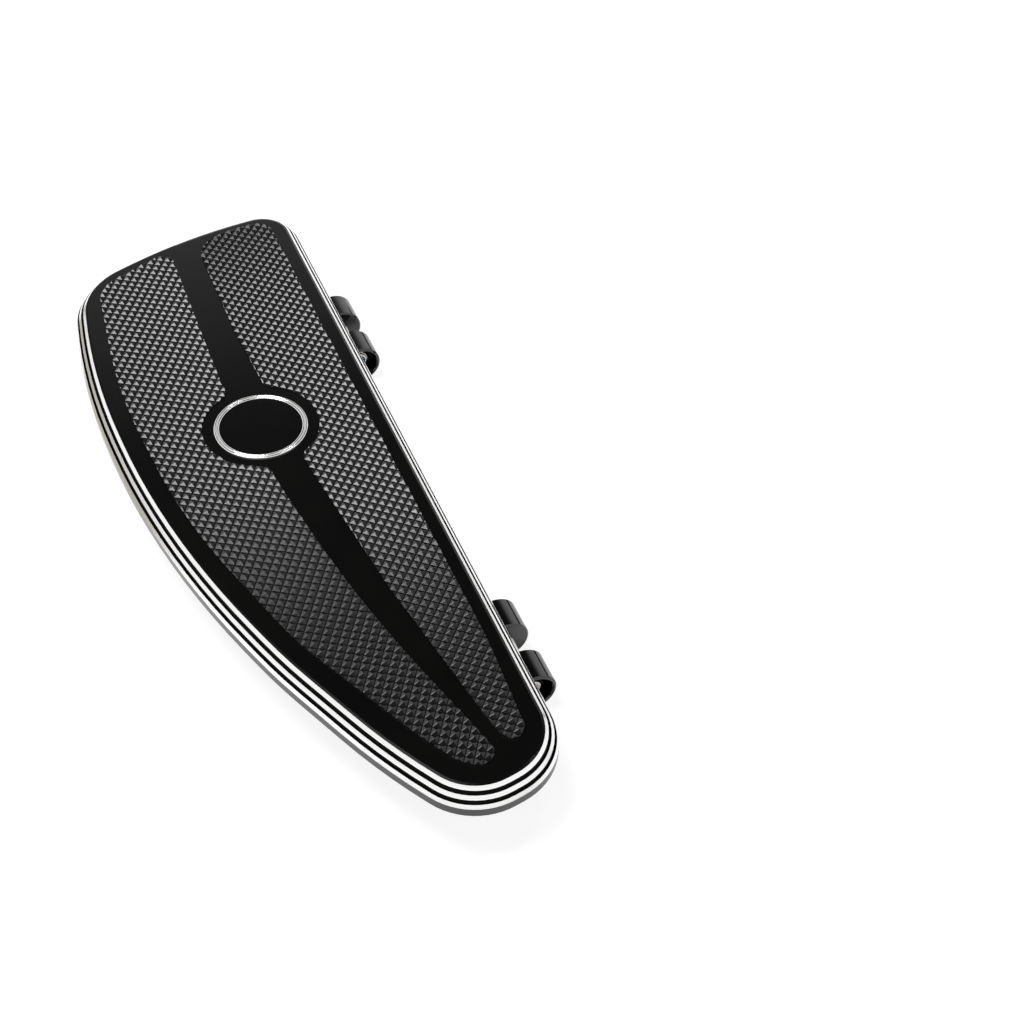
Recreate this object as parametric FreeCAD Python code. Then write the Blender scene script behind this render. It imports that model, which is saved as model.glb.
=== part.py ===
import FreeCAD, Part
import math
import os

# A machined floorboard for the left side of a motorcycle: a deck plate with two rubber tread pads
# and a round badge, carried by two clevises that hinge on brackets of the motorcycle.
# The origin is the middle of the wide-end clevis on its pivot line. +X points from the deck to the
# motorcycle, +Y to the wide end, +Z up. All sizes are millimetres.

Vector = FreeCAD.Vector
UP = Vector(0, 0, 1)
DOWN = Vector(0, 0, -1)

# Clearances
running_clearance = 0.05
thread_clearance = 0.05
end_play = 0.05
pad_clearance = 0.12
badge_clearance = 0.1

# Fasteners with quarter-inch thread
thread_diameter = 6.35
thread_lead = 0.5
cap_head_diameter = 9.53
cap_head_height = 6.35
cap_head_edge = 0.5
hex_socket = 4.76
hex_socket_depth = 3.2
deck_screw_length = 23.8

# Thin lock nut with a plastic ring under its lip
nut_hexagon = 11.1
nut_hexagon_height = 4.2
nut_collar_diameter = 9.8
nut_height = 5.6
nut_corner_cut = 0.5
insert_diameter = 8.4
insert_height = 1.3
lip_diameter = 7.6
lip_height = 0.3
bolt_stick_out = 0.3

# Clevises
clevis_spacing = 247.5
clevis_width = 51.5
clevis_gap = 15.5
ear_radius = 11.3
ear_to_deck = 1.55
wide_rear_wall = 10.2
narrow_rear_wall = 6.5
clevis_rear_round = 5.0
wide_slot_reach = 27.8
narrow_slot_reach = 31.5
slot_round = 3.5
clevis_chamfer = 0.8
ear_counterbore_diameter = 18.6
ear_counterbore_depth = 9.5
ear_counterbore_chamfer = 0.6
screw_front_wall = 0.6
screw_rear_wall = 1.9
screw_off_middle = 1.0
screw_hole_diameter = 7.0
screw_counterbore_diameter = 11.0
screw_recess = 2.1
screw_counterbore_chamfer = 0.4

# Deck plate. Past a slight bevel round the flat face the edge falls away along an arc, in bands
# of equal width: bright land, black groove, land, groove, land, with an upright wall below.
deck_thickness = 13.3
deck_inner_side = -9.6
face_bevel_width = 1.2
face_bevel_drop = 0.3
edge_radius = 29.8
edge_first_slope = 42.0
edge_band_turn = 4.0
edge_bands = 5
groove_depth = 0.85
underside_chamfer = 0.2
screw_hole_depth = 9.0

# Tread pads, with square pyramids in rows. Each row runs at an angle to +X from a tip at x, y.
pocket_depth = 2.5
pad_rise = 1.5
boss_radius = 29.8
boss_corner_round = 8.0
tread_pitch = 4.2
pyramid_height = 1.1
outer_tread = (-112.86, 36.04, -31.8)
inner_tread = (-51.69, 59.59, -40.5)

# Badge
badge_x = -71.64
badge_y = -82.38
badge_diameter = 47.8
badge_pocket_depth = 2.0
bezel_width = 2.8
bezel_rise = 0.9
bezel_bead = 0.4
disc_recess = 0.3

# Outlines seen from above, each as the corners of its straight sides and the radius of the arc
# that rounds each corner, counter-clockwise
deck_corners = [
    (deck_inner_side, 93.5, 16.0),
    (-66.2, 88.4, 262.0),
    (-131.5, 63.4, 41.0),
    (-143.1, -12.5, 466.0),
    (-135.5, -141.0, 538.0),
    (-104.4, -233.0, 327.0),
    (-76.8, -295.5, 318.0),
    (-53.6, -331.9, 25.8),
    (deck_inner_side, -323.0, 28.0),
]
outer_pad_corners = [
    (-78.8, 78.5, 6.3),
    (-124.0, 58.2, 21.2),
    (-133.4, -32.1, 406.0),
    (-124.7, -135.7, 402.0),
    (-97.7, -224.6, 181.0),
    (-66.2, -290.5, 250.0),
    (-53.0, -314.3, 25.0),
    (-32.4, -326.0, 6.7),
    (-63.9, -212.7, 800.0),
    (-75.1, -127.4, 30.0),
    (-81.7, -44.2, 30.0),
]
inner_pad_corners = [
    (-18.4, 86.3, 9.5),
    (-39.7, 86.6, 59.9),
    (-63.1, 77.9, 19.5),
    (-63.7, -9.0, 300.0),
    (-57.9, -118.7, 60.0),
    (-47.7, -209.0, 200.0),
    (-33.3, -295.9, 116.0),
    (-27.5, -316.0, 4.7),
    (-19.5, -307.0, 5.3),
    (-16.6, -255.7, 100.0),
]

# Heights and places that follow from the sizes above
tiny = 1e-4
underside = ear_radius + ear_to_deck
deck_top = underside + deck_thickness
pocket_floor = deck_top - pocket_depth
badge_floor = deck_top - badge_pocket_depth
pyramid_top = deck_top + pad_rise
cell_reach = 0.8
clevis_places = {"wide_end": 0.0, "narrow_end": -clevis_spacing}
slot_reaches = {"wide_end": wide_slot_reach, "narrow_end": narrow_slot_reach}
clevis_rears = {
    "wide_end": wide_slot_reach + wide_rear_wall,
    "narrow_end": narrow_slot_reach + narrow_rear_wall,
}
bolt_head_sides = {"wide_end": 1, "narrow_end": -1}
ear_web_face = clevis_width / 2 - ear_counterbore_depth
screw_seat = -ear_radius + screw_recess + cap_head_height
screw_front = ear_counterbore_diameter / 2 + screw_front_wall + screw_counterbore_diameter / 2
screw_side = (clevis_width + clevis_gap) / 4 - screw_off_middle
insert_seat = nut_height - lip_height - insert_height


def outline(corners, grow=0.0, z=0.0):
    """A closed wire through rounded corners, moved outward by grow."""
    points = [Vector(x, y, z) for x, y, radius in corners]
    sides = [(end - start).normalize() for start, end in zip(points, points[1:] + points[:1])]
    bends = []
    for i, point in enumerate(points):
        before, after = sides[i - 1], sides[i]
        out_before = Vector(before.y, -before.x, 0)
        out_after = Vector(after.y, -after.x, 0)
        corner = point + (out_before + out_after) * (grow / (1 + out_before.dot(out_after)))
        convex = 1 if before.cross(after).z > 0 else -1
        radius = corners[i][2]
        if radius == 0:
            bends.append((corner, corner, corner))
            continue
        radius += convex * grow
        cut = radius * math.tan(before.getAngle(after) / 2)
        start = corner - before * cut
        centre = start - out_before * (convex * radius)
        middle = centre + (corner - centre).normalize() * radius
        bends.append((start, middle, corner + after * cut))
    edges = []
    for (start, middle, end), following in zip(bends, bends[1:] + bends[:1]):
        if start.distanceToPoint(end) > tiny:
            edges.append(Part.Arc(start, middle, end).toShape())
        if end.distanceToPoint(following[0]) > tiny:
            edges.append(Part.makeLine(end, following[0]))
    return Part.Wire(edges)


def prism(wire, height):
    return Part.Face(wire).extrude(Vector(0, 0, height))


def inside(point, loop):
    """Whether a point lies within a closed loop of points, all seen from above."""
    odd = False
    for start, end in zip(loop, loop[1:] + loop[:1]):
        if (start.y > point.y) != (end.y > point.y):
            crossing = start.x + (point.y - start.y) * (end.x - start.x) / (end.y - start.y)
            if crossing > point.x:
                odd = not odd
    return odd


def edge_point(bands, depth=0.0):
    """How far out from the top of the first land, and down from the flat face, some bands end."""
    first = math.radians(edge_first_slope)
    slope = first + math.radians(bands * edge_band_turn)
    out = edge_radius * (math.sin(slope) - math.sin(first)) - depth * math.sin(slope)
    down = edge_radius * (math.cos(first) - math.cos(slope)) + depth * math.cos(slope)
    return out, face_bevel_drop + down


edge_run = edge_point(edge_bands)[0]
deck_inner_wall = deck_inner_side + edge_run


def pad_form(corners, bottom, top, grow=0.0):
    """A tread pad, cut back in a circle round the badge, or its pocket when grown."""
    body = prism(outline(corners, grow, bottom), top - bottom)
    boss = Part.makeCylinder(boss_radius - grow, top - bottom, Vector(badge_x, badge_y, bottom), UP)
    body = body.cut(boss)
    tips = []
    for edge in body.Edges:
        middle = edge.CenterOfMass
        reach = math.hypot(middle.x - badge_x, middle.y - badge_y)
        if edge.BoundBox.ZLength > tiny and abs(reach - boss_radius + grow) < tiny:
            tips.append(edge)
    return body.makeFillet(boss_corner_round + grow, tips)


def screw_spots():
    """The eight deck screws: name of the end, x and y."""
    spots = []
    for end, y in clevis_places.items():
        screw_back = clevis_rears[end] - screw_rear_wall - screw_counterbore_diameter / 2
        for x in (-screw_front, -screw_back):
            for side in (1, -1):
                spots.append((end, x, y + side * screw_side))
    return spots


def deck_plate():
    rings = [
        (edge_run - underside_chamfer, underside),
        (edge_run, underside + underside_chamfer),
    ]
    for band in range(edge_bands, 0, -1):
        out, down = edge_point(band)
        rings.append((out, deck_top - down))
        if band % 2 == 0:
            for step in (band, band - 1):
                out, down = edge_point(step, groove_depth)
                rings.append((out, deck_top - down))
    rings.append((0.0, deck_top - face_bevel_drop))
    rings.append((-face_bevel_width, deck_top))
    wires = [outline(deck_corners, grow, z) for grow, z in rings]
    deck = Part.makeLoft(wires, True, True)
    above = deck_top + pocket_depth
    cuts = [pad_form(corners, pocket_floor, above, pad_clearance)
            for corners in (outer_pad_corners, inner_pad_corners)]
    cuts.append(Part.makeCylinder(badge_diameter / 2 + badge_clearance, above - badge_floor,
                                  Vector(badge_x, badge_y, badge_floor), UP))
    hole_radius = thread_diameter / 2 + thread_clearance
    for end, x, y in screw_spots():
        cuts.append(Part.makeCylinder(hole_radius, screw_hole_depth, Vector(x, y, underside), UP))
    return deck.cut(cuts)


def pyramid_block(corners, tread):
    """A block with a pyramid on every square cell that the pad reaches."""
    tip_x, tip_y, angle = tread
    origin = Vector(tip_x, tip_y, 0)
    row = Vector(math.cos(math.radians(angle)), math.sin(math.radians(angle)), 0) * tread_pitch
    column = UP.cross(row)
    near = pad_form(corners, 0, deck_top, cell_reach * tread_pitch)
    floor = min(near.Faces, key=lambda face: face.CenterOfMass.z)
    loop = floor.OuterWire.discretize(Distance=tread_pitch / 3)
    reach = int(near.BoundBox.DiagonalLength / tread_pitch)
    cells = set()
    for i in range(-reach, reach):
        for j in range(-reach, reach):
            middle = origin + row * i + column * j
            if near.BoundBox.isInside(middle) and inside(middle, loop):
                cells.add((i, j))

    points = []
    numbers = {}
    facets = []

    def number(i, j, z):
        if (i, j, z) not in numbers:
            numbers[i, j, z] = len(points)
            points.append(origin + row * i + column * j + UP * z)
        return numbers[i, j, z]

    for i, j in sorted(cells):
        square = [(i - 0.5, j - 0.5), (i + 0.5, j - 0.5), (i + 0.5, j + 0.5), (i - 0.5, j + 0.5)]
        beside = [(i, j - 1), (i + 1, j), (i, j + 1), (i - 1, j)]
        low = [number(a, b, underside) for a, b in square]
        high = [number(a, b, pyramid_top - pyramid_height) for a, b in square]
        tip = number(i, j, pyramid_top)
        facets.append((low[0], low[2], low[1]))
        facets.append((low[0], low[3], low[2]))
        for k in range(4):
            after = (k + 1) % 4
            facets.append((high[k], high[after], tip))
            if beside[k] not in cells:
                facets.append((low[k], low[after], high[after]))
                facets.append((low[k], high[after], high[k]))
    skin = Part.Shape()
    skin.makeShapeFromMesh((points, facets), tiny / 10, True)
    return Part.Solid(Part.Shell(skin.Faces))


def tread_pad(corners, tread):
    """A rubber pad whose pyramids are cut off at its outline."""
    return pad_form(corners, pocket_floor, pyramid_top).common(pyramid_block(corners, tread))


def badge_bezel():
    """A turned ring with two beads on its top."""
    outer = badge_diameter / 2
    inner = outer - bezel_width
    middle = (outer + inner) / 2
    shoulder = deck_top + bezel_rise - bezel_bead
    crest = deck_top + bezel_rise
    start = Vector(outer, 0, badge_floor)
    edges = [
        Part.makeLine(Vector(inner, 0, badge_floor), start),
        Part.makeLine(start, Vector(outer, 0, shoulder)),
    ]
    for near, far in ((outer, middle), (middle, inner)):
        top = Vector((near + far) / 2, 0, crest)
        edges.append(Part.Arc(Vector(near, 0, shoulder), top, Vector(far, 0, shoulder)).toShape())
    edges.append(Part.makeLine(Vector(inner, 0, shoulder), Vector(inner, 0, badge_floor)))
    ring = Part.Face(Part.Wire(edges)).revolve(Vector(), UP, 360)
    ring.translate(Vector(badge_x, badge_y, 0))
    return ring


def badge_disc():
    radius = badge_diameter / 2 - bezel_width - badge_clearance
    height = deck_top + bezel_rise - disc_recess - badge_floor
    return Part.makeCylinder(radius, height, Vector(badge_x, badge_y, badge_floor), UP)


def drilled(radius, depth, chamfer, mouth, inward):
    """The metal that a counterbore with a chamfered rim takes away."""
    hole = Part.makeCylinder(radius, depth, mouth, inward)
    return hole.fuse(Part.makeCone(radius + chamfer, radius, chamfer, mouth, inward))


def in_plane(edge, axis, value):
    ends = [vertex.Point[axis] for vertex in edge.Vertexes] + [edge.CenterOfMass[axis]]
    return all(abs(abs(place) - value) < tiny for place in ends)


def clevis(end):
    """A block under the deck with two round ears, a slot between them and holes for its bolts."""
    y = clevis_places[end]
    rear_face = clevis_rears[end]
    half = clevis_width / 2
    start = Vector(-rear_face, -half, -ear_radius)
    below = Vector(0, -half, -ear_radius)
    above = Vector(0, -half, ear_radius)
    step = Vector(deck_inner_wall, -half, ear_radius)
    front = Vector(deck_inner_wall, -half, underside)
    back = Vector(-rear_face, -half, underside)
    side = Part.Wire([
        Part.makeLine(start, below),
        Part.Arc(below, Vector(ear_radius, -half, 0), above).toShape(),
        Part.makeLine(above, step),
        Part.makeLine(step, front),
        Part.makeLine(front, back),
        Part.makeLine(back, start),
    ])
    body = Part.Face(side).extrude(Vector(0, clevis_width, 0))
    rear = [edge for edge in body.Edges
            if edge.BoundBox.ZLength > ear_radius and in_plane(edge, 0, rear_face)]
    body = body.makeFillet(clevis_rear_round, rear)

    past = 2 * ear_radius
    slot = outline([
        (-slot_reaches[end], -clevis_gap / 2, slot_round),
        (past, -clevis_gap / 2, 0),
        (past, clevis_gap / 2, 0),
        (-slot_reaches[end], clevis_gap / 2, slot_round),
    ], z=-past)
    body = body.cut(prism(slot, 2 * past))

    rims = []
    for edge in body.Edges:
        upright = edge.BoundBox.XLength < tiny and edge.BoundBox.YLength < tiny
        on_top = edge.BoundBox.ZMax > underside - tiny
        on_face = in_plane(edge, 2, ear_radius) and edge.CenterOfMass.z < 0
        on_side = in_plane(edge, 1, half) or in_plane(edge, 1, clevis_gap / 2)
        if (on_face or on_side) and not on_top and not upright:
            rims.append(edge)
    body = body.makeChamfer(clevis_chamfer, rims)

    bore_radius = thread_diameter / 2 + running_clearance
    cuts = [Part.makeCylinder(bore_radius, clevis_width, Vector(0, -half, 0), Vector(0, 1, 0))]
    for sign in (1, -1):
        cuts.append(drilled(ear_counterbore_diameter / 2, ear_counterbore_depth,
                            ear_counterbore_chamfer, Vector(0, sign * half, 0), Vector(0, -sign, 0)))
    for spot_end, spot_x, spot_y in screw_spots():
        if spot_end == end:
            mouth = Vector(spot_x, spot_y - y, -ear_radius)
            cuts.append(drilled(screw_counterbore_diameter / 2, screw_seat + ear_radius,
                                screw_counterbore_chamfer, mouth, UP))
            cuts.append(Part.makeCylinder(screw_hole_diameter / 2, 2 * past, mouth, UP))
    body = body.cut(cuts)
    body.translate(Vector(0, y, 0))
    return body


def hexagon(across_flats, z=0.0):
    radius = across_flats / math.sqrt(3)
    points = [Vector(radius * math.cos(math.radians(60 * i)), radius * math.sin(math.radians(60 * i)), z)
              for i in range(7)]
    return Part.makePolygon(points)


def cap_screw(length):
    """A socket-head cap screw, its head's seat at the origin and its head pointing up."""
    head = Part.makeCylinder(cap_head_diameter / 2, cap_head_height - cap_head_edge)
    rim = Part.makeCone(cap_head_diameter / 2, cap_head_diameter / 2 - cap_head_edge, cap_head_edge,
                        Vector(0, 0, cap_head_height - cap_head_edge), UP)
    shank = Part.makeCylinder(thread_diameter / 2, length - thread_lead, Vector(), DOWN)
    lead = Part.makeCone(thread_diameter / 2, thread_diameter / 2 - thread_lead, thread_lead,
                         Vector(0, 0, thread_lead - length), DOWN)
    socket = prism(hexagon(hex_socket, cap_head_height - hex_socket_depth), hex_socket_depth)
    return head.fuse([rim, shank, lead]).removeSplitter().cut(socket)


def placed(shape, x, y, z, pointing):
    shape.Placement = FreeCAD.Placement(Vector(x, y, z), FreeCAD.Rotation(UP, pointing))
    return shape


def pivot_bolt(end):
    side = bolt_head_sides[end]
    length = 2 * (ear_web_face + end_play) + nut_height + bolt_stick_out
    seat = clevis_places[end] + side * (ear_web_face + end_play)
    return placed(cap_screw(length), 0, seat, 0, Vector(0, side, 0))


def nut_place(shape, end):
    side = -bolt_head_sides[end]
    return placed(shape, 0, clevis_places[end] + side * (ear_web_face + end_play), 0, Vector(0, side, 0))


def lock_nut(end):
    """A hexagon with a round collar, whose lip holds the plastic ring."""
    corner_radius = nut_hexagon / math.sqrt(3)
    body = prism(hexagon(nut_hexagon), nut_hexagon_height)
    body = body.common(Part.makeCone(corner_radius - nut_corner_cut,
                                     corner_radius - nut_corner_cut + nut_hexagon_height,
                                     nut_hexagon_height))
    body = body.fuse(Part.makeCylinder(nut_collar_diameter / 2, nut_height))
    body = body.cut([
        Part.makeCylinder(thread_diameter / 2 + thread_clearance, nut_height),
        Part.makeCylinder(insert_diameter / 2 + thread_clearance, insert_height,
                          Vector(0, 0, insert_seat), UP),
        Part.makeCylinder(lip_diameter / 2, lip_height, Vector(0, 0, nut_height - lip_height), UP),
    ])
    return nut_place(body, end)


def nut_insert(end):
    ring = Part.makeCylinder(insert_diameter / 2, insert_height, Vector(0, 0, insert_seat), UP)
    bore = Part.makeCylinder(thread_diameter / 2 + thread_clearance, nut_height)
    return nut_place(ring.cut(bore), end)


parts = {
    "deck_plate": deck_plate(),
    "tread_pad_outer": tread_pad(outer_pad_corners, outer_tread),
    "tread_pad_inner": tread_pad(inner_pad_corners, inner_tread),
    "badge_bezel": badge_bezel(),
    "badge_disc": badge_disc(),
}
for end in clevis_places:
    parts[end + "_clevis"] = clevis(end)
    parts[end + "_pivot_bolt"] = pivot_bolt(end)
    parts[end + "_lock_nut"] = lock_nut(end)
    parts[end + "_nut_insert"] = nut_insert(end)
numbers = {"wide_end": 0, "narrow_end": 0}
for end, x, y in screw_spots():
    numbers[end] += 1
    name = "{}_screw_{}".format(end, numbers[end])
    parts[name] = placed(cap_screw(deck_screw_length), x, y, screw_seat, DOWN)

os.makedirs("parts", exist_ok=True)
for name, shape in parts.items():
    shape.exportStep("parts/" + name + ".step")
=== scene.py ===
import math
import bmesh
import bpy
from mathutils import Matrix, Vector


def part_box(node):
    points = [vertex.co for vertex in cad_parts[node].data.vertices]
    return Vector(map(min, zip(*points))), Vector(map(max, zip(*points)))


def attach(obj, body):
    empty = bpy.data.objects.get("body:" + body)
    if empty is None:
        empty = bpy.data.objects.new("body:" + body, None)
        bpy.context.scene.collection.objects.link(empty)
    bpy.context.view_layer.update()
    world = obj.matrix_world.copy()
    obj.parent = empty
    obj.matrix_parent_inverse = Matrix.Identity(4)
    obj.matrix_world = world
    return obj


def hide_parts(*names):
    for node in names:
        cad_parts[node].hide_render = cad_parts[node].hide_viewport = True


# A motorcycle floorboard, dressed in the order in which it is put together: deck, tread pads,
# badge, clevises, deck screws, pivot bolts and lock nuts. Lengths are in metres, and one that is
# written in millimetres is multiplied by MM.
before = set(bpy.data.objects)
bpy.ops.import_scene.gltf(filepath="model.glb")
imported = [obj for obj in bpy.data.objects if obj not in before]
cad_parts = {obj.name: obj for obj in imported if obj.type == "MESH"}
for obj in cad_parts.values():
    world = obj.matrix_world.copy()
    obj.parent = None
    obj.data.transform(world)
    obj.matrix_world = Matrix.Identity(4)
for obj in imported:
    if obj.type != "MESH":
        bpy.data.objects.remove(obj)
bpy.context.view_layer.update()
MM = 0.001


# Deck plate: cut from aluminium 13 mm thick and anodised black, then its rounded edge is passed
# along a cutter again, which leaves three bright lands with two black grooves between them.
first_slope = math.radians(42.0)
band_turn = math.radians(4.0)
band_count = 5
band_slack = 0.4
level_slope = math.radians(5)
upright_slope = math.radians(85.0)
glossy_bevel_side = -0.06
feed_line_length = 125 * MM
feed_line_spacing = MM / 2.2


def linear(code):
    """The linear colour of an sRGB hex value."""
    parts = [int(code[i:i + 2], 16) / 255 for i in (1, 3, 5)]
    return [p / 12.92 if p <= 0.04045 else ((p + 0.055) / 1.055) ** 2.4 for p in parts] + [1.0]


def add(tree, kind, inputs=(), stops=(), **settings):
    """Adds a node: inputs are values or the sockets that feed it, and settings its properties.

    A ramp also takes its stops, each a place from 0 to 1 and an sRGB hex value.
    """
    node = tree.nodes.new("ShaderNode" + kind)
    for name, value in settings.items():
        setattr(node, name, value)
    for name, value in dict(inputs).items():
        if isinstance(value, bpy.types.NodeSocket):
            tree.links.new(value, node.inputs[name])
        else:
            node.inputs[name].default_value = value
    if stops:
        elements = node.color_ramp.elements
        elements[0].position = stops[0][0]
        elements[1].position = stops[-1][0]
        for place, _ in stops[1:-1]:
            elements.new(place)
        for element, (_, code) in zip(elements, stops):
            element.color = linear(code)
    return node


def new_material(name):
    """A material with only an output, and its tree."""
    material = bpy.data.materials.new(name)
    material.use_nodes = True
    material.node_tree.nodes.clear()
    return material, material.node_tree


def end_material(tree, shader):
    add(tree, "OutputMaterial", {"Surface": shader.outputs[0]})


def black_anodised():
    # Dyed anodic film on milled aluminium: a thin glassy black layer over a faint bead-blast grain,
    # which is drawn coarser than the real grit, so that it shows
    material, tree = new_material("black_anodised_aluminium")
    place = add(tree, "TexCoord").outputs["Object"]
    grain = add(tree, "TexNoise", {"Vector": place, "Scale": 1 / (0.9 * MM), "Detail": 4.0})
    cloud = add(tree, "TexNoise", {"Vector": place, "Scale": 1 / (35 * MM), "Detail": 2.0})
    colour = add(tree, "ValToRGB", {"Fac": cloud.outputs["Fac"]}, [(0.3, "#090909"), (0.7, "#0d0d0c")])
    rough = add(tree, "MapRange", {"Value": grain.outputs["Fac"], "To Min": 0.07, "To Max": 0.12})
    bump = add(tree, "Bump", {"Height": grain.outputs["Fac"], "Strength": 0.06, "Distance": 0.02 * MM})
    shader = add(tree, "BsdfPrincipled", {
        "Base Color": colour.outputs["Color"], "Metallic": 0.0, "IOR": 1.65,
        "Roughness": rough.outputs["Result"], "Normal": bump.outputs["Normal"]})
    end_material(tree, shader)
    return material


def cut_aluminium():
    # Bare aluminium left by a sharp cutter: bright, with feed lines that run along the edge. They
    # are drawn coarser than the real ones, so that they show
    material, tree = new_material("bright_cut_aluminium")
    place = add(tree, "TexCoord").outputs["Object"]
    scale = (1 / feed_line_length, 1 / feed_line_length, 1 / feed_line_spacing)
    stretched = add(tree, "Mapping", {"Vector": place, "Scale": scale})
    lines = add(tree, "TexNoise", {"Vector": stretched.outputs[0], "Scale": 1.0, "Detail": 3.0})
    colour = add(tree, "ValToRGB", {"Fac": lines.outputs["Fac"]}, [(0.3, "#ececea"), (0.7, "#ffffff")])
    bump = add(tree, "Bump", {"Height": lines.outputs["Fac"], "Strength": 0.25, "Distance": 0.02 * MM})
    shader = add(tree, "BsdfPrincipled", {
        "Base Color": colour.outputs["Color"], "Metallic": 1.0, "Roughness": 0.2,
        "Normal": bump.outputs["Normal"]})
    end_material(tree, shader)
    return material


def matt_black():
    # Dyed anodic film in a groove that the cutter left rough, so that hardly any light comes back. Its
    # black is painted darker than the deck's, as painted shade. The grain is drawn coarser than the
    # real one
    material, tree = new_material("black_anodised_groove_painted_shade")
    place = add(tree, "TexCoord").outputs["Object"]
    grain = add(tree, "TexNoise", {"Vector": place, "Scale": 1 / (0.6 * MM), "Detail": 3.0})
    colour = add(tree, "ValToRGB", {"Fac": grain.outputs["Fac"]}, [(0.3, "#030303"), (0.7, "#070707")])
    shader = add(tree, "BsdfPrincipled", {
        "Base Color": colour.outputs["Color"], "Metallic": 0.0, "Roughness": 0.3, "IOR": 1.15})
    end_material(tree, shader)
    return material


def new_piece(name, mesh, body, node):
    """An object for a finished mesh, riding on its body in place of a CAD node."""
    piece = bpy.data.objects.new(name, mesh)
    bpy.context.scene.collection.objects.link(piece)
    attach(piece, body)
    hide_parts(node)


def edge_finish(face):
    """The finish of a deck face: 1 on the edge's bright lands, 2 in its grooves, 0 elsewhere.

    The slight bevel above the lands takes the groove's darker black where it looks to the outer side,
    as painted shade on that side.
    """
    slope = math.acos(min(face.normal.z, 1.0))
    band = (slope - first_slope) / band_turn - 0.5
    nearest_land = 2 * round(band / 2)
    if -band_slack < band < band_count and abs(band - nearest_land) < band_slack:
        return 1
    if slope < first_slope / 2 and face.normal.x > glossy_bevel_side:
        return 0
    return 2 if level_slope < slope < upright_slope else 0


anodised = black_anodised()
bright = cut_aluminium()
groove = matt_black()
deck_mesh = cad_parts["deck_plate"].data.copy()
deck_mesh.materials.clear()
for material in (anodised, bright, groove):
    deck_mesh.materials.append(material)
for face in deck_mesh.polygons:
    face.material_index = edge_finish(face)
new_piece("deck", deck_mesh, "board", "deck_plate")


# Tread pads: two sheets of black rubber, moulded with rows of square pyramids whose valleys have
# a narrow flat floor, then trimmed to a curved outline and bonded into pockets in the deck.
def tread_rubber(name, dark, light, roughness, ior):
    # Carbon-filled rubber: black, with a fine grain that breaks up what its flanks mirror. It is
    # drawn coarser than the real grain, so that it shows
    material, tree = new_material(name)
    place = add(tree, "TexCoord").outputs["Object"]
    grain = add(tree, "TexNoise", {"Vector": place, "Scale": 1 / (0.5 * MM), "Detail": 5.0})
    colour = add(tree, "ValToRGB", {"Fac": grain.outputs["Fac"]}, [(0.25, dark), (0.75, light)])
    bump = add(tree, "Bump", {"Height": grain.outputs["Fac"], "Strength": 0.15, "Distance": 0.05 * MM})
    shader = add(tree, "BsdfPrincipled", {
        "Base Color": colour.outputs["Color"], "Metallic": 0.0, "Roughness": roughness, "IOR": ior,
        "Normal": bump.outputs["Normal"]})
    end_material(tree, shader)
    return material


ridge_round = 0.18 * MM
valley_fill = 0.14 * MM
whole_flank = 3.492 * MM ** 2
steepest_flank = 0.3
level_face = 0.99
same_plane = math.radians(0.5)
ridge_turn = math.radians(10)
same_point = 0.001 * MM
# The flanks are smooth from the mould. The floors between them are dull and mirror nothing, and their
# black is painted darker, as painted shade between the pyramids.
rubber = tread_rubber("moulded_black_rubber", "#050505", "#0c0c0c", 0.2, 1.5)
valley_shade_rubber = tread_rubber("dull_valley_rubber_painted_shade", "#030303", "#080808", 0.5, 1.15)
for name in ("outer", "inner"):
    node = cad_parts["tread_pad_" + name]
    pad = bmesh.new()
    pad.from_mesh(node.data)
    bmesh.ops.remove_doubles(pad, verts=pad.verts, dist=same_point)
    bmesh.ops.dissolve_limit(pad, angle_limit=same_plane, verts=pad.verts, edges=pad.edges)
    valleys = min(vert.co.z for edge in pad.edges if not edge.is_convex for vert in edge.verts
                  if all(steepest_flank < face.normal.z < level_face for face in edge.link_faces))
    valley_floor = valleys + valley_fill
    bmesh.ops.bisect_plane(pad, geom=pad.verts[:] + pad.edges[:] + pad.faces[:],
                           plane_co=(0, 0, valley_floor), plane_no=(0, 0, 1))
    for vert in pad.verts:
        if valleys - valley_fill < vert.co.z < valley_floor:
            vert.co.z = valley_floor
    bmesh.ops.remove_doubles(pad, verts=pad.verts, dist=same_point)
    ridges = [edge for edge in pad.edges
              if edge.is_convex and edge.calc_face_angle(0) > ridge_turn
              and all(steepest_flank < face.normal.z < level_face and face.calc_area() > whole_flank
                      for face in edge.link_faces)]
    bmesh.ops.bevel(pad, geom=ridges, affect="EDGES", offset=ridge_round, offset_type="OFFSET",
                    segments=2, profile=0.5, material=-1, clamp_overlap=False)
    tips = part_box(node.name)[1].z
    for vert in pad.verts:
        vert.co.z = min(vert.co.z, tips)
    for face in pad.faces:
        face.smooth = False
        # Level faces at the valleys' floor take the darker rubber: painted shade between the pyramids.
        if face.normal.z > level_face and face.calc_center_median().z < valley_floor + valley_fill:
            face.material_index = 1
    pad_mesh = bpy.data.meshes.new("tread_" + name)
    pad.to_mesh(pad_mesh)
    pad.free()
    pad_mesh.attributes.remove(pad_mesh.attributes["custom_normal"])
    pad_mesh.materials.append(rubber)
    pad_mesh.materials.append(valley_shade_rubber)
    new_piece("tread_" + name, pad_mesh, "board", node.name)


# Badge: an aluminium ring turned bright with two beads, pressed into the round pocket in the
# middle of the deck, and a plain disc inside it, anodised black as the deck is.
for node_name, material in (("badge_bezel", bright), ("badge_disc", anodised)):
    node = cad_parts[node_name]
    node.data.materials.clear()
    node.data.materials.append(material)


# Clevises: two blocks of aluminium under the inner side of the deck, milled with round ears and a
# slot between them, with chamfered edges and a black anodised finish.
ENDS = ("wide_end", "narrow_end")
for end in ENDS:
    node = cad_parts[end + "_clevis"]
    node.data.materials.clear()
    node.data.materials.append(anodised)


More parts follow.
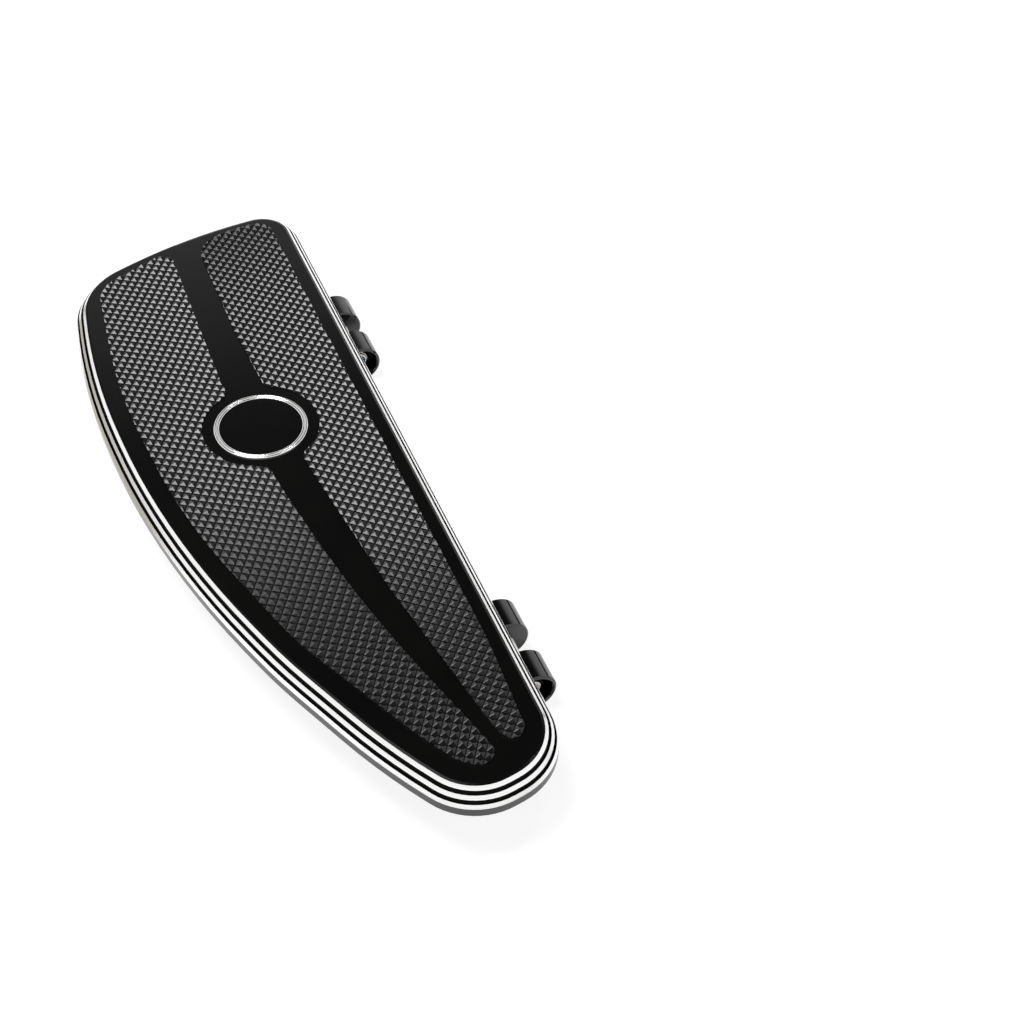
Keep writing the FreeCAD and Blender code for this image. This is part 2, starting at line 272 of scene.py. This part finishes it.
# Fasteners: headed and thread-rolled stainless steel. Eight socket-head screws hold the clevises
# to the deck, and a pivot bolt with a thin lock nut crosses the ears of each. A blue nylon ring
# in each nut grips the thread.
thread_diameter = 6.35 * MM
thread_pitch = 1.27 * MM
thread_depth = 0.7 * MM
thread_form = ((0, 0.0), (1, 0.4), (1, 0.55), (0, 0.95), (0, 1.0))
thread_steps = 24
tip_chamfer = 0.5 * MM
tip_length = 0.6 * MM
head_height = 6.35 * MM
head_round = 0.5 * MM
head_round_middle = 0.15 * MM
seat_edge = 0.2 * MM
head_neck = 1 * MM
socket_flats = 4.76 * MM
socket_depth = 3.2 * MM
socket_lip = 0.15 * MM
socket_point = 0.8 * MM
socket_point_share = 0.2
nut_flats = 11.1 * MM
nut_face_share = 0.96
nut_hexagon_height = 4.2 * MM
nut_height = 5.6 * MM
nut_seat_chamfer = 0.3 * MM
nut_top_chamfer = 0.5 * MM
nut_clearance = 0.05 * MM
collar_diameter = 9.8 * MM
collar_round = 0.6 * MM
lip_diameter = 7.6 * MM
lip_depth = 0.6 * MM
lip_edge = 0.1 * MM
circle_steps = 48
sharp_turn = math.radians(28)
# 1 where the bolt's head is on the clevis side with the larger Y, and -1 where it is opposite
HEAD_SIDES = {"wide_end": 1, "narrow_end": -1}


def stainless():
    # Drawn and headed stainless steel, bright with a slight warm cast. Its grain is drawn coarser
    # than the real one, so that it shows
    material, tree = new_material("bright_stainless_steel")
    place = add(tree, "TexCoord").outputs["Object"]
    grain = add(tree, "TexNoise", {"Vector": place, "Scale": 1 / (0.4 * MM), "Detail": 3.0})
    rough = add(tree, "MapRange", {"Value": grain.outputs["Fac"], "To Min": 0.18, "To Max": 0.3})
    shader = add(tree, "BsdfPrincipled", {
        "Base Color": linear("#c9c4bc"), "Metallic": 1.0, "Roughness": rough.outputs["Result"]})
    end_material(tree, shader)
    return material


def shaded_socket_steel():
    # The broached floor and walls of a socket, painted a darker brown as painted shade inside the
    # socket
    material, tree = new_material("socket_steel_painted_shade")
    place = add(tree, "TexCoord").outputs["Object"]
    stain = add(tree, "TexNoise", {"Vector": place, "Scale": 1 / (1.5 * MM), "Detail": 2.0})
    colour = add(tree, "ValToRGB", {"Fac": stain.outputs["Fac"]}, [(0.3, "#6a5642"), (0.7, "#9a8468")])
    shader = add(tree, "BsdfPrincipled", {
        "Base Color": colour.outputs["Color"], "Metallic": 1.0, "Roughness": 0.38})
    end_material(tree, shader)
    return material


def nylon():
    # Moulded nylon, dyed blue, slightly waxy
    material, tree = new_material("blue_moulded_nylon")
    place = add(tree, "TexCoord").outputs["Object"]
    cloud = add(tree, "TexNoise", {"Vector": place, "Scale": 1 / (2 * MM), "Detail": 2.0})
    colour = add(tree, "ValToRGB", {"Fac": cloud.outputs["Fac"]}, [(0.3, "#1b49a0"), (0.7, "#2a62c4")])
    shader = add(tree, "BsdfPrincipled", {
        "Base Color": colour.outputs["Color"], "Roughness": 0.4, "IOR": 1.53})
    end_material(tree, shader)
    return material


def grow_ring(form, edges, radius, height, flats=False):
    """Extrudes a ring of edges to a radius and height. A hexagon's radius is half its flats."""
    grown = bmesh.ops.extrude_edge_only(form, edges=edges)["geom"]
    for vert in (part for part in grown if isinstance(part, bmesh.types.BMVert)):
        turn = math.atan2(vert.co.y, vert.co.x)
        corner = turn % math.radians(60) - math.radians(30)
        out = radius / math.cos(corner) if flats else radius
        vert.co = (out * math.cos(turn), out * math.sin(turn), height)
    return [part for part in grown if isinstance(part, bmesh.types.BMEdge) and part.is_boundary]


def turned(rings):
    """A closed form turned about Z, from the rings' radius, height and whether each is a hexagon."""
    form = bmesh.new()
    radius, height, flats = rings[0]
    bmesh.ops.create_circle(form, segments=circle_steps, cap_ends=True, radius=radius)
    bmesh.ops.translate(form, verts=form.verts, vec=(0, 0, height))
    edges = list(form.edges)
    for radius, height, flats in rings[1:]:
        edges = grow_ring(form, edges, radius, height, flats)
    bmesh.ops.contextual_create(form, geom=edges)
    return form


def finish_form(form, matrix):
    """Moves a form to its place, points its faces outwards and keeps its corners sharp."""
    bmesh.ops.transform(form, matrix=matrix, verts=form.verts)
    bmesh.ops.recalc_face_normals(form, faces=form.faces)
    for face in form.faces:
        face.smooth = True
    for edge in form.edges:
        edge.smooth = edge.calc_face_angle(0) < sharp_turn


def socket_head(diameter):
    """The head of a socket screw with its seat at zero, pointing up."""
    radius = diameter / 2
    half = socket_flats / 2
    root = thread_diameter / 2 - thread_depth
    floor = head_height - socket_depth
    corner = half / math.cos(math.radians(30))
    head = turned([
        (root, -head_neck, False),
        (root, 0, False),
        (radius - seat_edge, 0, False),
        (radius, seat_edge, False),
        (radius, head_height - head_round, False),
        (radius - head_round_middle, head_height - head_round_middle, False),
        (radius - head_round, head_height, False),
        (corner + lip_edge, head_height, False),
        (half, head_height - socket_lip, True),
        (half, floor, True),
        (half * socket_point_share, floor - socket_point, False),
    ])
    # Faces inside the socket take the darker brown steel: painted shade in the recess.
    for face in head.faces:
        middle = face.calc_center_median()
        in_socket = middle.xy.length < corner and 0 < middle.z < head_height - lip_edge
        face.material_index = 1 if in_socket else 0
    return head


def threaded_shank(length):
    """A shank with a rolled thread, from its seat down to a chamfered end."""
    root = thread_diameter / 2 - thread_depth
    turns = math.ceil(length / thread_pitch) + 2
    shank = bmesh.new()
    points = [shank.verts.new((root + out * thread_depth, 0, thread_pitch * (share - turns + 1)))
              for out, share in thread_form]
    edges = [shank.edges.new(pair) for pair in zip(points, points[1:])]
    bmesh.ops.spin(shank, geom=points + edges, cent=(0, 0, 0), axis=(0, 0, 1),
                   dvec=(0, 0, thread_pitch / thread_steps), angle=turns * math.tau,
                   steps=thread_steps * turns)
    bmesh.ops.remove_doubles(shank, verts=shank.verts, dist=same_point)
    for level, side in ((0.0, 1), (tip_length - length, -1)):
        bmesh.ops.bisect_plane(shank, geom=shank.verts[:] + shank.edges[:] + shank.faces[:],
                               plane_co=(0, 0, level), plane_no=(0, 0, side), clear_outer=True)
    low = [edge for edge in shank.edges
           if edge.is_boundary and all(vert.co.z < -length / 2 for vert in edge.verts)]
    grown = bmesh.ops.extrude_edge_only(shank, edges=low)["geom"]
    tip = [part for part in grown if isinstance(part, bmesh.types.BMVert)]
    for vert in tip:
        vert.co = Vector((*(vert.co.xy.normalized() * (root - lip_edge)), -length))
    bmesh.ops.holes_fill(shank, edges=shank.edges, sides=0)
    return shank


def lock_nut():
    """A thin hexagon nut with a rolled collar, its seat at zero, pointing up."""
    half = nut_flats / 2
    bore = thread_diameter / 2 + nut_clearance
    collar = collar_diameter / 2
    lip = lip_diameter / 2
    nut = turned([
        (bore, 0, False),
        (half * nut_face_share, 0, False),
        (half, nut_seat_chamfer, True),
        (half, nut_hexagon_height - nut_top_chamfer, True),
        (half * nut_face_share, nut_hexagon_height, False),
        (collar, nut_hexagon_height, False),
        (collar, nut_height - collar_round, False),
        (collar - collar_round / 3, nut_height - collar_round / 3, False),
        (collar - collar_round, nut_height, False),
        (lip + lip_edge, nut_height, False),
        (lip, nut_height - lip_edge, False),
        (lip, nut_height - lip_depth + lip_edge, False),
        (bore, nut_height - lip_depth, False),
    ])
    caps = [face for face in nut.faces if len(face.verts) == circle_steps]
    rims = [list(face.edges) for face in caps]
    bmesh.ops.delete(nut, geom=caps, context="FACES_ONLY")
    bmesh.ops.bridge_loops(nut, edges=rims[0] + rims[1])
    return nut


def stand(place, direction):
    """The matrix that takes a form from the origin, pointing up, to its place and direction."""
    return Matrix.Translation(place) @ Vector(direction).to_track_quat("Z", "Y").to_matrix().to_4x4()


def fastener(name, forms, place, direction, body, materials, node):
    """A piece joined from forms that stand at one place in one direction."""
    whole = bpy.data.meshes.new(name)
    joined = bmesh.new()
    for form in forms:
        finish_form(form, stand(place, direction))
        part = bpy.data.meshes.new(name + "_form")
        form.to_mesh(part)
        form.free()
        joined.from_mesh(part)
        bpy.data.meshes.remove(part)
    joined.to_mesh(whole)
    joined.free()
    for material in materials:
        whole.materials.append(material)
    new_piece(name, whole, body, node)


steel = stainless()
socket_steel = shaded_socket_steel()
blue = nylon()
for end in ENDS:
    for number in (1, 2, 3, 4):
        node = "{}_screw_{}".format(end, number)
        low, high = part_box(node)
        tip = low.z - high.z + head_height
        shank = turned([
            (thread_diameter / 2 - tip_chamfer, tip, False),
            (thread_diameter / 2, tip + tip_chamfer, False),
            (thread_diameter / 2, 0, False),
        ])
        place = ((low.x + high.x) / 2, (low.y + high.y) / 2, low.z + head_height)
        forms = [socket_head(high.x - low.x), shank]
        fastener("deck_screw_{}_{}".format(end, number), forms, place, (0, 0, -1), "board",
                 (steel, socket_steel), node)
    side = HEAD_SIDES[end]
    low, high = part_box(end + "_pivot_bolt")
    head_top = high.y if side > 0 else low.y
    forms = [socket_head(high.x - low.x), threaded_shank(high.y - low.y - head_height)]
    place = (0, head_top - side * head_height, 0)
    fastener(end + "_bolt", forms, place, (0, side, 0), end + "_pivot",
             (steel, socket_steel), end + "_pivot_bolt")
    low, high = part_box(end + "_lock_nut")
    seat = high.y if side > 0 else low.y
    fastener(end + "_nut", [lock_nut()], (0, seat, 0), (0, -side, 0), end + "_pivot",
             [steel], end + "_lock_nut")
    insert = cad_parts[end + "_nut_insert"]
    insert.data.materials.clear()
    insert.data.materials.append(blue)


# Studio: a matt white table with the board on it, a pale surround that is dark overhead, cards
# that only reflections show, and two soft boxes that face down.
table_reach = 3.0
card_gap = 0.5 * MM


def table_white():
    # Matt paint. To the camera the table glows nearly white and keeps a faint shadow
    material, tree = new_material("white_table")
    path = add(tree, "LightPath")
    matt = add(tree, "BsdfDiffuse", {"Color": linear("#f8f8f8")})
    faint = add(tree, "BsdfDiffuse", {"Color": linear("#8a8a8a")})
    glow = add(tree, "Emission", {"Color": (1, 1, 1, 1), "Strength": 0.82})
    seen = add(tree, "AddShader", {0: faint.outputs[0], 1: glow.outputs[0]})
    mix = add(tree, "MixShader", {0: path.outputs["Is Camera Ray"], 1: matt.outputs[0],
                                  2: seen.outputs[0]})
    end_material(tree, mix)
    return material


floor_level = min(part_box(end + "_clevis")[0].z for end in ENDS)
floor_mesh = bpy.data.meshes.new("table")
table = bmesh.new()
bmesh.ops.create_grid(table, x_segments=1, y_segments=1, size=table_reach)
bmesh.ops.translate(table, verts=table.verts, vec=(0, 0, floor_level))
table.to_mesh(floor_mesh)
table.free()
floor = bpy.data.objects.new("table", floor_mesh)
bpy.context.scene.collection.objects.link(floor)
floor_mesh.materials.append(table_white())


def reflected_card(name, start, end, sweep, code):
    """A card swept from the line between two points, seen only in reflections."""
    material, tree = new_material(name)
    end_material(tree, add(tree, "BsdfDiffuse", {"Color": linear(code)}))
    sheet = bmesh.new()
    line = sheet.edges.new([sheet.verts.new(start), sheet.verts.new(end)])
    grown = bmesh.ops.extrude_edge_only(sheet, edges=[line])["geom"]
    swept = [part for part in grown if isinstance(part, bmesh.types.BMVert)]
    bmesh.ops.translate(sheet, verts=swept, vec=sweep)
    mesh = bpy.data.meshes.new(name)
    sheet.to_mesh(mesh)
    sheet.free()
    mesh.materials.append(material)
    card = bpy.data.objects.new(name, mesh)
    bpy.context.scene.collection.objects.link(card)
    card.visible_camera = False
    card.visible_diffuse = False
    card.visible_shadow = False


# The black card stands on the table and draws the dark line along the clevis ears. The grey one
# lies on the table and dulls the lowest land on the outer side.
reflected_card("black_card", (160 * MM, -220 * MM, floor_level), (160 * MM, 190 * MM, floor_level),
               (0, 0, 20 * MM - floor_level), "#0a0a0a")
reflected_card("grey_card", (-900 * MM, -60 * MM, floor_level + card_gap),
               (-900 * MM, 600 * MM, floor_level + card_gap), (710 * MM, 0, 0), "#a09c90")

# The surround's shade goes by height, leaning towards the side that the top face mirrors.
world = bpy.data.worlds.new("studio")
bpy.context.scene.world = world
world.use_nodes = True
sky = world.node_tree
sky.nodes.clear()
path = add(sky, "LightPath")
direction = add(sky, "TexCoord").outputs["Generated"]
lean_side = math.radians(23.7)
lean_share = 0.25
lean = (lean_share * math.sin(lean_side), lean_share * math.cos(lean_side), 1.0)
height = add(sky, "VectorMath", {0: direction, 1: lean}, operation="DOT_PRODUCT")
surround = add(sky, "ValToRGB", {"Fac": height.outputs["Value"]}, [
    (0.0, "#ffffff"), (0.6, "#ffffff"), (0.7, "#e4e4e4"), (0.78, "#8c8c8c"),
    (0.85, "#2c2c2c"), (0.93, "#0a0a0a")])
colour = add(sky, "Mix", {0: path.outputs["Is Camera Ray"], 6: surround.outputs["Color"],
                          7: (1, 1, 1, 1)}, data_type="RGBA")
back = add(sky, "Background", {"Color": colour.outputs[2], "Strength": 1.0})
add(sky, "OutputWorld", {"Surface": back.outputs[0]})


def soft_box(name, place, width, depth, power):
    """A rectangular area lamp that faces straight down."""
    data = bpy.data.lights.new(name, "AREA")
    data.shape = "RECTANGLE"
    data.size = width
    data.size_y = depth
    data.energy = power
    lamp = bpy.data.objects.new(name, data)
    lamp.location = place
    bpy.context.scene.collection.objects.link(lamp)


soft_box("overhead", (-0.36, 0.05, 1.2), 0.52, 0.5, 11.5)
soft_box("right", (0.45, 0.02, 1.2), 0.34, 0.14, 1.8)


# Camera: at the photograph's angle and distance, aimed at a point that is level with the
# pyramids' tips and in the middle of the frame.
aim = Vector((24.01, -186.22, 27.65)) * MM
distance = 793.14 * MM
azimuth = math.radians(23.73)
elevation = math.radians(45.57)
roll = math.radians(1.846)
forward = Vector((math.sin(azimuth) * math.cos(elevation), math.cos(azimuth) * math.cos(elevation),
                  -math.sin(elevation)))
lens = bpy.data.cameras.new("camera")
lens.lens = 57.48
lens.sensor_width = 36.0
lens.clip_start = 0.01
camera = bpy.data.objects.new("camera", lens)
bpy.context.scene.collection.objects.link(camera)
turn = forward.to_track_quat("-Z", "Y").to_matrix() @ Matrix.Rotation(roll, 3, "Z")
camera.matrix_world = Matrix.Translation(aim - forward * distance) @ turn.to_4x4()
bpy.context.scene.camera = camera
bpy.context.scene.view_settings.view_transform = "Standard"
